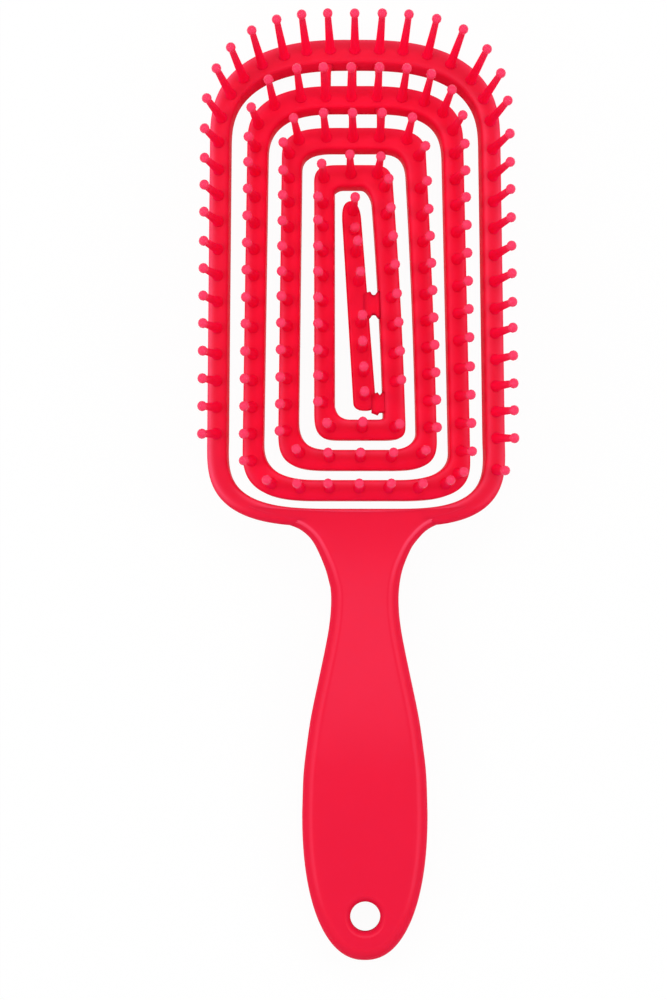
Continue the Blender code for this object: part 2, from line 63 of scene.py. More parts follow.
LEAST_FACING = 1e-15
MERGE_DISTANCE = 0.001 * MM
FILLET_SHINE_POWER = 0.5
FACE_SHINE_POWER = 2.5
CURVE_START_Y = 11.5 * MM
CURVE_RADIUS = 294.0 * MM
LYING_TURN = radians(3.6649)
LYING_SHIFT = np.array((-0.30, -1.348, 18.066)) * MM
LEAN_FADE_Y = (-8.0 * MM, 14.0 * MM)
# A loop's table is in mm and degrees, and gives its left, top, right and bottom side in turn.
OUTER = dict(
    runs=[((-37.3, 10.0), (-36.6, 91.3)), ((-5.0, 119.3), (2.0, 119.3)),
          ((35.8, 88.4), (36.9, 9.0)), ((10.0, -8.1), (-5.0, -8.1))],
    bows=(0, 0, 0, 0), squareness=(2.3, 2.67, 2.62, 2.77),
    outer_edge=dict(reaches=(3.0, 4.0, 3.0, 2.1), squareness=(2.6, 2.7, 2.9, 3.05),
                    starts=((-3.0, 3.2), (-3.2, -3.2), (5.1, -2.6), (0.4, 0.5))),
    inner_edge=dict(reaches=(-2.25, -3.8, -2.3, -2.6), squareness=(2.65, 2.75, 3.2, 3.3),
                    starts=((-3.7, 1.5), (-3.7, -2.5), (4.1, -4.0), (-1.4, -1.2))),
    outer_fillets=(0.85, 0.85, 0.85, 1.9), crowns=(0.25, 0.25, 0.25, 0.0),
    # Each side's outer and inner shine is painted light on that edge: a painted highlight where it
    # is above 0, and painted shade where it is below 0.
    growths=(0.05, 0.4, 0.05, 0.0), outer_painted_light=(1.4, 0.35, 0.7, -0.2),
    inner_painted_light=(-0.3, 0.05, 0.6, 1.0), leans=(14.3, 19.8, 18.0, 0.0),
    pin_shifts=(0.3, 0.0, 0.4, 0.4), relief=(0.12, 0.08, -0.05, 0), corner_lean=3)


def smooth_step(value, low, high):
    """3t^2 - 2t^3, where t runs from 0 at low to 1 at high."""
    share = np.clip((value - low) / (high - low), 0, 1)
    return share * share * (3 - 2 * share)


def unit(vectors):
    """Vectors divided by their lengths."""
    return vectors / np.linalg.norm(vectors, axis=-1, keepdims=True)


def laid_down(points):
    """World places of points of the flat layout.

    Past CURVE_START_Y, y becomes an angle round a cylinder of CURVE_RADIUS whose axis lies below
    the head, and z adds to its radius. Then all turn about X and shift.
    """
    x, y, z = np.moveaxis(points, -1, 0)
    turn = np.maximum(y - CURVE_START_Y, 0) / CURVE_RADIUS
    bent_y = CURVE_START_Y + (CURVE_RADIUS + z) * np.sin(turn)
    bent_z = (CURVE_RADIUS + z) * np.cos(turn) - CURVE_RADIUS
    bent_y = np.where(turn > 0, bent_y, y)
    bent_z = np.where(turn > 0, bent_z, z)
    turned_y = bent_y * np.cos(LYING_TURN) - bent_z * np.sin(LYING_TURN)
    turned_z = bent_y * np.sin(LYING_TURN) + bent_z * np.cos(LYING_TURN)
    return np.stack((x, turned_y, turned_z), axis=-1) + LYING_SHIFT


def band_line(loop, edge=None):
    """Closed line of a band's middle or of one of its edges, clockwise from its left run.

    An edge's runs lie its reaches outwards of the middle's and are longer by its starts. A run
    is straight, plus bow * 4t(1 - t) outwards. A corner is the quarter of a superellipse,
    |u|^n + |v|^n = 1, that is tangent to the runs on both of its sides.
    """
    middle = dict(reaches=(0,) * 4, starts=((0, 0),) * 4, squareness=loop["squareness"])
    shape = loop[edge] if edge else middle
    runs = np.array(loop["runs"]) * MM
    ways = unit(runs[:, 1] - runs[:, 0])
    sides = np.column_stack((-ways[:, 1], ways[:, 0]))
    runs = runs + (sides * np.array(shape["reaches"])[:, None] * MM)[:, None]
    runs = runs + ways[:, None] * (np.array(shape["starts"]) * (-1, 1) * MM)[..., None]
    share = np.linspace(0, 1, RUN_SAMPLES, endpoint=False)[:, None]
    turn = np.linspace(0, pi / 2, CORNER_SAMPLES, endpoint=False)[:, None]
    parts = []
    for index, (start, finish) in enumerate(runs):
        along = finish - start
        bow = sides[index] * loop["bows"][index] * MM
        parts.append(start + along * share + bow * 4 * share * (1 - share))
        following, end = runs[(index + 1) % 4]
        reach = np.linalg.solve(np.column_stack((along, following - end)), following - finish)
        apex = finish + along * reach[0]
        power = 2 / shape["squareness"][index]
        parts.append(finish + following - apex + (apex - following) * np.cos(turn) ** power
                     + (apex - finish) * np.sin(turn) ** power)
    return np.vstack(parts)


def stations(line, count, crowding=0.0):
    """Places along a closed line and their outward normals, even in length + crowding * turn."""
    closed = np.vstack((line, line[:1]))
    steps = np.diff(closed, axis=0)
    heading = np.unwrap(np.arctan2(steps[:, 1], steps[:, 0]))
    turns = np.abs(np.diff(heading, prepend=heading[:1]))
    travelled = np.cumsum(np.concatenate(([0], np.linalg.norm(steps, axis=1) + crowding * turns)))
    even = np.linspace(0, travelled[-1], count, endpoint=False)
    places = np.column_stack([np.interp(even, travelled, closed[:, axis]) for axis in (0, 1)])
    along = np.roll(places, -1, axis=0) - np.roll(places, 1, axis=0)
    return places, unit(np.column_stack((-along[:, 1], along[:, 0])))


def distance_to(line, places, normals):
    """How far each place's normal runs, outwards or back, before it crosses a closed line.

    Place + d * normal = p + s * (q - p), with s from 0 to 1, and the smallest |d| counts.
    """
    pieces = (np.roll(line, -1, axis=0) - line)[None]
    gaps, ways = line[None] - places[:, None], normals[:, None]
    facing = ways[..., 0] * pieces[..., 1] - ways[..., 1] * pieces[..., 0]
    facing = np.where(facing == 0, LEAST_FACING, facing)
    distance = (gaps[..., 0] * pieces[..., 1] - gaps[..., 1] * pieces[..., 0]) / facing
    share = (gaps[..., 0] * ways[..., 1] - gaps[..., 1] * ways[..., 0]) / facing
    meets = (share > -MEETING_SLACK) & (share < 1 + MEETING_SLACK)
    distance = np.where(meets, distance, np.inf)
    nearest = np.abs(distance).argmin(axis=1)[:, None]
    return np.take_along_axis(distance, nearest, axis=1)[:, 0]


def by_side(values, normals):
    """Left or right value times nx^2, plus top or bottom value times ny^2."""
    left, top, right, bottom = values
    nx, ny = normals.T
    return np.where(nx < 0, left, right) * nx ** 2 + np.where(ny > 0, top, bottom) * ny ** 2


def face_axes(loop, places, normals, share, relief=(0, 0, 0, 0)):
    """Unit directions across a band's face, outwards, and out of it.

    Out is (x / reach * tan(side lean), ny * tan(end lean) - relief * tan(head turn), 1), and
    across is the normal less its part along out.
    """
    left, top, right, bottom = np.tan(np.radians(loop["leans"]))
    reach_left = -loop["runs"][0][0][0] * MM
    reach_right = loop["runs"][2][1][0] * MM
    x, y = places[:, 0], places[:, 1]
    side = np.where(x < 0, left / reach_left, right / reach_right) * x * share
    end = normals[:, 1] * np.where(normals[:, 1] > 0, top, bottom)
    head_turn = np.maximum(y - CURVE_START_Y, 0) / CURVE_RADIUS
    end = end - by_side(relief, normals) * np.tan(head_turn)
    out = unit(np.column_stack((side, end, np.ones_like(side))))
    level = np.column_stack((normals, np.zeros_like(side)))
    across = level - out * (out * level).sum(axis=1, keepdims=True)
    return unit(across), out


def rounded_section(low, high, crown, thickness, low_fillet, high_fillet, back_fillet,
                    low_painted_light, high_painted_light):
    """A band's cross-section at each station, from the outer wall over the face to the back.

    The face is -crown g^2, with g from -1 to 1 across it, and each edge is a quarter circle.
    Gives the places across, the places out of the face, and each point's painted light: the
    edge's painted highlight on a face edge, less of it over the face by a power of |g|, and
    below nothing, a painted shade, on the walls and the back.
    """
    low, high, crown, thickness, low_fillet, high_fillet, low_painted_light, high_painted_light = [
        np.broadcast_to(value, low.shape)[:, None]
        for value in (low, high, crown, thickness, low_fillet, high_fillet, low_painted_light, high_painted_light)]
    turn = np.linspace(0, pi / 2, FILLET_STEPS + 1)[None, :]
    g = np.linspace(1, -1, FACE_STEPS + 1)[None, 1:-1]
    face_low, face_high = low + low_fillet, high - high_fillet
    back_low, back_high = low + back_fillet, high - back_fillet
    across = np.hstack((face_high + high_fillet * np.cos(turn),
                        (face_low + face_high) / 2 + (face_high - face_low) / 2 * g,
                        face_low - low_fillet * np.sin(turn), back_low - back_fillet * np.cos(turn),
                        back_high + back_fillet * np.sin(turn)))
    out = np.hstack((high_fillet * (np.sin(turn) - 1) - crown, -crown * g ** 2,
                     low_fillet * (np.cos(turn) - 1) - crown,
                     back_fillet * (1 - np.sin(turn)) - thickness,
                     back_fillet * (1 - np.cos(turn)) - thickness))
    # Painted shade: the walls are painted darker as they turn down from the face, and the back is
    # painted darker all over.
    wall = -WALL_PAINTED_SHADE * np.cos(turn) ** 2 + 0 * low
    back = -WALL_PAINTED_SHADE + 0 * turn + 0 * low
    painted_light = np.hstack((high_painted_light * np.sin(turn) ** FILLET_SHINE_POWER + wall,
                       np.where(g < 0, low_painted_light, high_painted_light) * np.abs(g) ** FACE_SHINE_POWER,
                       low_painted_light * np.cos(turn) ** FILLET_SHINE_POWER + wall[:, ::-1],
                       back, back))
    return across, out, painted_light


def grid_faces(rows, columns, rows_close):
    """Corners of the quads of a grid whose columns close on themselves, and maybe its rows."""
    row = np.arange(rows if rows_close else rows - 1)[:, None]
    column = np.arange(columns)[None, :]
    next_row, next_column = (row + 1) % rows, (column + 1) % columns
    corners = (row * columns + column, row * columns + next_column,
               next_row * columns + next_column, next_row * columns + column)
    return np.stack(np.broadcast_arrays(*corners), axis=-1).reshape(-1, 4)


def add_piece(name, points, faces, form, material):
    """Mesh object from points and faces, closed, turned outwards and smooth.

    The UV map form holds each point's painted light and shade, and how far up a pin it is.
    """
    mesh = bpy.data.meshes.new(name)
    mesh.from_pydata(points.reshape(-1, 3).tolist(), [], [list(face) for face in faces])
    corner_points = np.empty(len(mesh.loops), dtype=np.int32)
    mesh.loops.foreach_get("vertex_index", corner_points)
    layer = mesh.uv_layers.new(name="form")
    layer.data.foreach_set("uv", form.reshape(-1, 2)[corner_points].astype(np.float32).ravel())
    bm = bmesh.new()
    bm.from_mesh(mesh)
    bmesh.ops.remove_doubles(bm, verts=bm.verts, dist=MERGE_DISTANCE)
    bmesh.ops.recalc_face_normals(bm, faces=bm.faces)
    bm.to_mesh(mesh)
    bm.free()
    mesh.shade_smooth()
    mesh.materials.append(material)
    piece = bpy.data.objects.new(name, mesh)
    bpy.context.collection.objects.link(piece)
    return piece


def band_piece(name, loop, lean_fade, material):
    """A band: its rounded section carried along its inner edge, and out to its outer edge."""
    places, normals = stations(band_line(loop, "inner_edge"), BAND_STATIONS, CORNER_CROWDING)
    inside = distance_to(band_line(loop), places, normals)
    width = distance_to(band_line(loop, "outer_edge"), places, normals)
    width = width + by_side(loop["growths"], normals) * MM
    places = places + normals * inside[:, None]
    share = smooth_step(places[:, 1], *lean_fade) if lean_fade else 1
    across, out = face_axes(loop, places, normals, share)
    # The section's painted highlights on the edges and painted shade on the walls and back go into
    # the form's U.
    a, b, painted_light = rounded_section(-inside, width - inside, by_side(loop["crowns"], normals) * MM,
                                  BAND_THICKNESS, FACE_FILLET,
                                  by_side(loop["outer_fillets"], normals) * MM, BACK_FILLET,
                                  by_side(loop["inner_painted_light"], normals),
                                  by_side(loop["outer_painted_light"], normals))
    centre = np.column_stack((places, np.zeros(len(places))))
    points = centre[:, None] + across[:, None] * a[..., None] + out[:, None] * b[..., None]
    form = np.stack((painted_light, np.zeros_like(painted_light)), axis=-1)
    return add_piece(name, laid_down(points), grid_faces(*a.shape, True), form, material)


ON_PIN = 0.001
TIP_START = 0.85
TIP_RISE = 7.0
TIP_POLISH = 0.15
MOTTLE_DETAIL = 3.0
GRAIN_DETAIL = 2.0
GRAIN_HEIGHT = 0.004 * MM
GLOSS_TINT = (1.0, 0.5, 0.6, 1)
TRANSLUCENCY = 0.35
LIGHT_REACH = 1.5 * MM
LIGHT_REACH_TINT = (1.0, 0.25, 0.3)
# Edge is a painted highlight tint and Wall a painted shade tint. The frame's Base is darker than
# the rings' though all are one plastic: painted shade here, painted light on the rings.
FRAME_TINTS = dict(Base=(0.86, 0.012, 0.049), Edge=(1.0, 0.078, 0.158),
                   Wall=(0.80, 0.009, 0.048), Tip=(1.0, 0.043, 0.130), Foot=(1.0, 0.005, 0.056))


def socket(group, name, kind, in_out, value=None):
    """A named input or output of a node group."""
    new = group.interface.new_socket(name=name, in_out=in_out, socket_type="NodeSocket" + kind)
    if value is not None:
        new.default_value = value
    return new


def plastic_look_and_painted_light_group():
    """Colour, roughness, gloss and grain of moulded plastic.

    Colour goes from the base tint to the edge tint, a painted highlight, as the form map's U rises
    from 0 to 1, and to the wall tint, a painted shade, as it falls to -1. On a pin it goes from the
    foot tint to the tip tint by V.
    Gloss is the face's, but nothing on walls and stems, and grows to the tip's where V nears 1,
    where the roughness falls. A soft mottle varies the colour a little, and a fine grain gives
    the satin of the mould.
    """
    group = bpy.data.node_groups.new("plastic_look_and_painted_light", "ShaderNodeTree")
    for name in ("Base", "Edge", "Wall", "Tip", "Foot"):
        socket(group, name, "Color", "INPUT", (0.8, 0.01, 0.05, 1))
    socket(group, "Painted Highlight Amount", "Float", "INPUT", 0.3)
    socket(group, "Mottle Scale", "Float", "INPUT", 60.0)
    socket(group, "Mottle Amount", "Float", "INPUT", 0.06)
    socket(group, "Grain Scale", "Float", "INPUT", 2500.0)
    socket(group, "Roughness", "Float", "INPUT", 0.4)
    socket(group, "Roughness Spread", "Float", "INPUT", 0.08)
    socket(group, "Face Gloss", "Float", "INPUT", 0.1)
    socket(group, "Tip Gloss", "Float", "INPUT", 0.35)
    socket(group, "Colour", "Color", "OUTPUT")
    socket(group, "Roughness", "Float", "OUTPUT")
    socket(group, "Gloss", "Float", "OUTPUT")
    socket(group, "Grain", "Float", "OUTPUT")
    nodes, links = group.nodes, group.links
    entry, leave = nodes.new("NodeGroupInput"), nodes.new("NodeGroupOutput")
    place, form = nodes.new("ShaderNodeTexCoord"), nodes.new("ShaderNodeUVMap")
    form.uv_map = "form"
    parts = nodes.new("ShaderNodeSeparateXYZ")
    links.new(form.outputs["UV"], parts.inputs["Vector"])

    def math(operation, first, second):
        """Maths node on two sockets or numbers."""
        node = nodes.new("ShaderNodeMath")
        node.operation = operation
        for target, source in zip(node.inputs, (first, second)):
            if isinstance(source, (int, float)):
                target.default_value = source
            else:
                links.new(source, target)
        return node.outputs["Value"]

    def mix(factor, first, second):
        """Colour mixed from first to second by factor."""
        node = nodes.new("ShaderNodeMix")
        node.data_type = "RGBA"
        links.new(factor, node.inputs["Factor"])
        links.new(first, node.inputs["A"])
        links.new(second, node.inputs["B"])
        return node.outputs["Result"]

    def noise(scale, detail):
        """Noise over the piece at a scale."""
        node = nodes.new("ShaderNodeTexNoise")
        node.inputs["Detail"].default_value = detail
        links.new(place.outputs["Object"], node.inputs["Vector"])
        links.new(entry.outputs[scale], node.inputs["Scale"])
        return node.outputs["Fac"]

    mottle, grain = noise("Mottle Scale", MOTTLE_DETAIL), noise("Grain Scale", GRAIN_DETAIL)
    on_pin = math("GREATER_THAN", parts.outputs["Y"], ON_PIN)
    pin_tint = mix(parts.outputs["Y"], entry.outputs["Foot"], entry.outputs["Tip"])
    # Painted highlight where U is above 0, and painted shade where it is below 0.
    painted_highlight_share = math("MULTIPLY", math("MAXIMUM", parts.outputs["X"], 0.0),
                      entry.outputs["Painted Highlight Amount"])
    painted_shade_share = math("MINIMUM", math("MAXIMUM", math("MULTIPLY", parts.outputs["X"], -1.0), 0.0),
                      1.0)
    painted_shade_tint = mix(painted_shade_share, entry.outputs["Base"], entry.outputs["Wall"])
    band_tint = mix(painted_highlight_share, painted_shade_tint, entry.outputs["Edge"])
    tint = mix(on_pin, band_tint, pin_tint)
    drift = math("MULTIPLY", math("SUBTRACT", mottle, 0.5), entry.outputs["Mottle Amount"])
    varied = nodes.new("ShaderNodeHueSaturation")
    links.new(math("ADD", drift, 1.0), varied.inputs["Value"])
    links.new(tint, varied.inputs["Color"])
    spread = math("MULTIPLY", math("SUBTRACT", mottle, 0.5), entry.outputs["Roughness Spread"])
    links.new(varied.outputs["Color"], leave.inputs["Colour"])
    open_face = math("MAXIMUM", math("SUBTRACT", 1.0, math("ADD", on_pin, painted_shade_share)), 0.0)
    near_tip = math("MULTIPLY", math("SUBTRACT", parts.outputs["Y"], TIP_START), TIP_RISE)
    near_tip = math("MINIMUM", math("MAXIMUM", near_tip, 0.0), 1.0)
    rough = math("SUBTRACT", math("ADD", entry.outputs["Roughness"], spread),
                 math("MULTIPLY", near_tip, TIP_POLISH))
    links.new(rough, leave.inputs["Roughness"])
    gloss = math("ADD", math("MULTIPLY", open_face, entry.outputs["Face Gloss"]),
                 math("MULTIPLY", near_tip, entry.outputs["Tip Gloss"]))
    links.new(gloss, leave.inputs["Gloss"])
    links.new(grain, leave.inputs["Grain"])
    return group


def plastic(name, finish, tints, painted_highlight_amount):
    """Principled plastic whose colour, roughness, gloss and grain come from the finish group, with
    painted highlights and painted shade in its colour.
    """
    material = bpy.data.materials.new(name)
    material.use_nodes = True
    nodes, links = material.node_tree.nodes, material.node_tree.links
    shader = nodes["Principled BSDF"]
    look = nodes.new("ShaderNodeGroup")
    look.node_tree = finish
    for tint, colour in tints.items():
        look.inputs[tint].default_value = (*colour, 1)
    look.inputs["Painted Highlight Amount"].default_value = painted_highlight_amount
    bump = nodes.new("ShaderNodeBump")
    bump.inputs["Strength"].default_value = 1.0
    bump.inputs["Distance"].default_value = GRAIN_HEIGHT
    shader.inputs["Specular Tint"].default_value = GLOSS_TINT
    shader.inputs["Subsurface Weight"].default_value = TRANSLUCENCY
    shader.inputs["Subsurface Radius"].default_value = LIGHT_REACH_TINT
    shader.inputs["Subsurface Scale"].default_value = LIGHT_REACH
    links.new(look.outputs["Colour"], shader.inputs["Base Color"])
    links.new(look.outputs["Roughness"], shader.inputs["Roughness"])
    links.new(look.outputs["Gloss"], shader.inputs["Specular IOR Level"])
    links.new(look.outputs["Grain"], bump.inputs["Height"])
    links.new(bump.outputs["Normal"], shader.inputs["Normal"])
    return material


# The finish group's colour holds painted highlights and painted shade along with the plastic's own
# tints.
finish = plastic_look_and_painted_light_group()
frame_plastic = plastic("frame_plastic_look", finish, FRAME_TINTS, painted_highlight_amount=0.8)
outer_loop = band_piece("outer_loop", OUTER, LEAN_FADE_Y, frame_plastic)
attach(outer_loop, "frame")
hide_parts("handle_frame")

# Handle and shoulders, the rest of the same moulding. The crowned face rolls over rounded edges
# to a flat back, the shoulders run into the loop, and the far end has a hole to hang it by,
# with a rounded rim.
HANDLE_AXIS_X = 2.1 * MM
HANDLE_EDGE = [(30.0, -6.9), (27.0, -8.1), (24.9, -8.8), (21.7, -9.6), (18.5, -11.3),
               (16.0, -13.9), (14.2, -16.6), (12.1, -21.9), (11.2, -27.3), (11.2, -32.6),
               (11.8, -37.9), (12.8, -43.3), (13.9, -48.6), (16.4, -60.6), (17.6, -68.6),
               (18.5, -76.6), (18.85, -86.6)]
SHOULDER_EDGE = [(-29.5, -6.9), (-26.5, -8.0), (-24.1, -8.7), (-20.9, -9.3), (-17.9, -9.9),
                 (-14.5, -11.5), (-11.5, -14.7), (-8.6, -21.1), (-7.1, -26.5)]
EDGE_STEPS = 6
ROLL_STEPS = 8
HANDLE_END_Y = -125.95 * MM
HANDLE_END_SQUARENESS = 2.26
HANDLE_END_STEPS = 40
HANDLE_COLUMNS = 28
SHOULDER_EDGE_RADIUS = 2.3 * MM
HANDLE_EDGE_RADIUS = 3.0 * MM
HANDLE_BACK_RADIUS = 2.0 * MM
HANDLE_CROWN = 0.6 * MM
HANDLE_DEPTH = 10.0 * MM
DEEPENING_STRETCH = (8.0 * MM, 30.0 * MM)
HEAD_SAG = 1.5 * MM
OVER_FACE = 0.01 * MM
# Painted light on the handle: a painted highlight line along each rolled edge, painted shade where
# the edge turns down to the side, and the face painted lighter below the neck and darker towards
# the far end, as the light falls off along it.
LINE_TURN = radians(74)
LINE_SPREAD = radians(9)
EDGE_PAINTED_SHADE = 0.9
PAINTED_LINE_STRENGTHS = (1.7, 0.45)
LINE_END_STRETCH = (104.0 * MM, 120.0 * MM)
NECK_PAINTED_LIGHT = 0.22
NECK_PAINTED_LIGHT_STRETCH = (10.0 * MM, 32.0 * MM)
END_PAINTED_SHADE = 0.42
END_PAINTED_SHADE_STRETCH = (45.0 * MM, 105.0 * MM)
HOLE_PLACE = np.array((2.2, -114.3)) * MM
HOLE_RADIUS = 4.0 * MM
HOLE_RIM = 1.8 * MM
HOLE_SIDES = 96
HOLE_PAINTED_HIGHLIGHT = 0.7
RIM_DROP = 0.05 * MM
RIM_OVER = 0.2 * MM
BORE_OVER = 1.0 * MM
SHARP_ANGLE = radians(50)


def mixed(first, second, share):
    """The first value where the share is 0, and the second where it is 1."""
    return first + (second - first) * share


def curve_through(points, steps):
    """Smooth curve through points, by the Catmull-Rom cubic on each stretch."""
    known = np.array(points) * MM
    ends = np.vstack((2 * known[0] - known[1], known, 2 * known[-1] - known[-2]))
    a, b, c, d = [ends[start:start + len(known) - 1, None] for start in range(4)]
    t = np.linspace(0, 1, steps, endpoint=False)[None, :, None]
    curve = 0.5 * (2 * b + (c - a) * t + (2 * a - 5 * b + 4 * c - d) * t ** 2
                   + (3 * b - a - 3 * c + d) * t ** 3)
    return np.vstack((curve.reshape(-1, 2), known[-1:]))


def plate(left, right, sag, crown, depth, face_radius, back_radius, painted_light, face_painted_light, start_closed,
          columns):
    """Points of a plate between two edge lines, each station's section in a row.

    At the edges the section is a quarter circle square to the edge line, and between them it
    runs straight across at -crown g^2, with g from -1 to 1, and sags by sag (1 - g^2) along -y.
    Where the edge lines meet, the section closes on itself. The form's U is a painted highlight
    line along the edges over painted shade where they turn down, the face's painted light
    between them, which is painted shade where it is negative, and -1, painted shade, under them.
    """
    before = (right[1] if start_closed else 2 * left[0] - left[1],
              left[1] if start_closed else 2 * right[0] - right[1])
    left_run = np.vstack((before[0], left, right[-2]))
    right_run = np.vstack((before[1], right, left[-2]))
    left_way, right_way = [unit(run[2:] - run[:-2]) for run in (left_run, right_run)]
    left_in = np.column_stack((-left_way[:, 1], left_way[:, 0]))
    right_in = np.column_stack((right_way[:, 1], -right_way[:, 0]))
    turn = np.linspace(0, pi / 2, ROLL_STEPS + 1)[None, :]
    g = np.linspace(-1, 1, columns + 1)[None, 1:-1]
    crown, depth, face_radius, back_radius, sag = [
        value[:, None] for value in (crown, depth, face_radius, back_radius, sag)]
    face_in, face_z = face_radius * (1 - np.cos(turn)), face_radius * (np.sin(turn) - 1) - crown
    back_in = back_radius * (1 - np.cos(turn))
    back_z = back_radius * (1 - np.sin(turn)) - depth

    def off_edge(edge, inwards, reach, z):
        """Points at a reach inwards of an edge line, at heights z."""
        flat = edge[:, None] + inwards[:, None] * reach[..., None]
        return np.concatenate((flat, z[..., None]), axis=-1)

    def between(radius, z):
        """Points between the two lines that lie a radius inside the edges, at heights z."""
        low = (left + left_in * radius)[:, None]
        high = (right + right_in * radius)[:, None]
        flat = (low + high) / 2 + (high - low) / 2 * g[..., None]
        flat[..., 1] -= sag * (1 - g ** 2)
        return np.concatenate((flat, z[..., None]), axis=-1)

    face = between(face_radius, -crown * g ** 2)
    back = between(back_radius, -depth + 0 * g)
    points = np.concatenate((off_edge(left, left_in, face_in, face_z), face,
                             off_edge(right, right_in, face_in, face_z)[:, ::-1],
                             off_edge(right, right_in, back_in, back_z), back[:, ::-1],
                             off_edge(left, left_in, back_in, back_z)[:, ::-1]), axis=1)
    # Painted highlight line on each rolled edge, with painted shade where the edge turns down to
    # the side and on the whole back.
    line = painted_light[:, None] * np.exp(-((turn - LINE_TURN) / LINE_SPREAD) ** 2)
    rim = line - EDGE_PAINTED_SHADE * np.cos(turn) ** 2
    middle, under = face_painted_light[:, None] + 0 * g, -1 + 0 * back[..., 0]
    below = -1 + 0 * rim
    form = np.concatenate((rim, middle, rim[:, ::-1], below, under, below), axis=1)
    return points, np.stack((form, 0 * form), axis=-1)


def caps(rows, columns):
    """End faces of a grid whose columns close on themselves."""
    return [list(range(columns)), list(range((rows - 1) * columns, rows * columns))]


def end_strip(columns):
    """Faces across the first row of a plate, from each point of its face to the one below it."""
    face = np.arange(columns // 2 - 1)
    back = columns - 1 - face
    return np.column_stack((face, face + 1, back - 1, back)).tolist()


right_edge = curve_through(HANDLE_EDGE, EDGE_STEPS)
shoulder = curve_through(SHOULDER_EDGE, EDGE_STEPS)
turn = np.linspace(0, pi / 2, HANDLE_END_STEPS + 1)[1:, None]
widest = right_edge[-1]
power = 2 / HANDLE_END_SQUARENESS
end_x = HANDLE_AXIS_X + (widest[0] - HANDLE_AXIS_X) * np.abs(np.cos(turn)) ** power
end_y = widest[1] + (HANDLE_END_Y - widest[1]) * np.sin(turn) ** power
right_edge = np.vstack((right_edge, np.hstack((end_x, end_y))))
right_edge[-1, 0] = HANDLE_AXIS_X
left_edge = np.column_stack((2 * HANDLE_AXIS_X - right_edge[:, 0], right_edge[:, 1]))
left_edge[:len(shoulder)] = shoulder
down = -right_edge[:, 1]
deep = smooth_step(down, *DEEPENING_STRETCH)
half_width = (right_edge[:, 0] - left_edge[:, 0]) / 2
narrowing = np.minimum(half_width / (widest[0] - HANDLE_AXIS_X), 1) ** 2
# The painted highlight line along the edges, and the face painted lighter past the neck and darker
# at the far end.
line_painted_light = mixed(*PAINTED_LINE_STRENGTHS, deep) * (1 - smooth_step(down, *LINE_END_STRETCH))
neck, end = smooth_step(down, *NECK_PAINTED_LIGHT_STRETCH), smooth_step(down, *END_PAINTED_SHADE_STRETCH)
handle_points, handle_form = plate(
    left_edge, right_edge, sag=HEAD_SAG * (1 - deep), crown=HANDLE_CROWN * deep * narrowing,
    depth=mixed(BAND_THICKNESS, HANDLE_DEPTH, deep),
    face_radius=mixed(SHOULDER_EDGE_RADIUS, HANDLE_EDGE_RADIUS, deep),
    back_radius=mixed(BACK_FILLET, HANDLE_BACK_RADIUS, deep),
    painted_light=line_painted_light, face_painted_light=NECK_PAINTED_LIGHT * neck - END_PAINTED_SHADE * end,
    start_closed=False, columns=HANDLE_COLUMNS)
# Where the handle's face lies on the loop's, it is a hair above it.
handle_points[..., 2] += OVER_FACE
rows, columns = handle_points.shape[:2]
handle_faces = grid_faces(rows, columns, False).tolist() + end_strip(columns)
handle = add_piece("handle", laid_down(handle_points), handle_faces, handle_form, frame_plastic)

turn = np.linspace(0, pi / 2, ROLL_STEPS + 1)
bore_levels = np.concatenate(([-HANDLE_DEPTH - BORE_OVER, -HANDLE_DEPTH / 2],
                              HOLE_RIM * (np.sin(turn) - 1) - RIM_DROP, [BORE_OVER]))
bore_radii = np.concatenate(([HOLE_RADIUS] * 2, HOLE_RADIUS + HOLE_RIM * (1 - np.cos(turn)),
                             [HOLE_RADIUS + HOLE_RIM + RIM_OVER]))
around = np.linspace(0, 2 * pi, HOLE_SIDES, endpoint=False)
bore = np.stack((HOLE_PLACE[0] + bore_radii[:, None] * np.cos(around),
                 HOLE_PLACE[1] + bore_radii[:, None] * np.sin(around),
                 bore_levels[:, None] + 0 * around), axis=-1)
bore_faces = grid_faces(*bore.shape[:2], False).tolist() + caps(*bore.shape[:2])
# Painted shade in the hole and down its rim, with a painted highlight on the lower side of the rim.
dimness = np.concatenate(([1, 1], np.cos(turn), [0]))[:, None]
line = np.concatenate(([0, 0], np.exp(-((turn - LINE_TURN) / LINE_SPREAD) ** 2), [0]))[:, None]
bore_form = np.zeros((*bore.shape[:2], 2))
bore_form[..., 0] = HOLE_PAINTED_HIGHLIGHT * line * (1 - np.sin(around)) / 2 - dimness
cutter = add_piece("hang_hole_bore", laid_down(bore), bore_faces, bore_form, frame_plastic)
cut = handle.modifiers.new("hang_hole", "BOOLEAN")
cut.operation = "DIFFERENCE"
cut.object = cutter
drilled = handle.evaluated_get(bpy.context.evaluated_depsgraph_get())
handle.data = bpy.data.meshes.new_from_object(drilled)
handle.modifiers.clear()
bpy.data.objects.remove(cutter)
handle.data.set_sharp_from_angle(angle=SHARP_ANGLE)
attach(handle, "frame")
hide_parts("handle_frame")

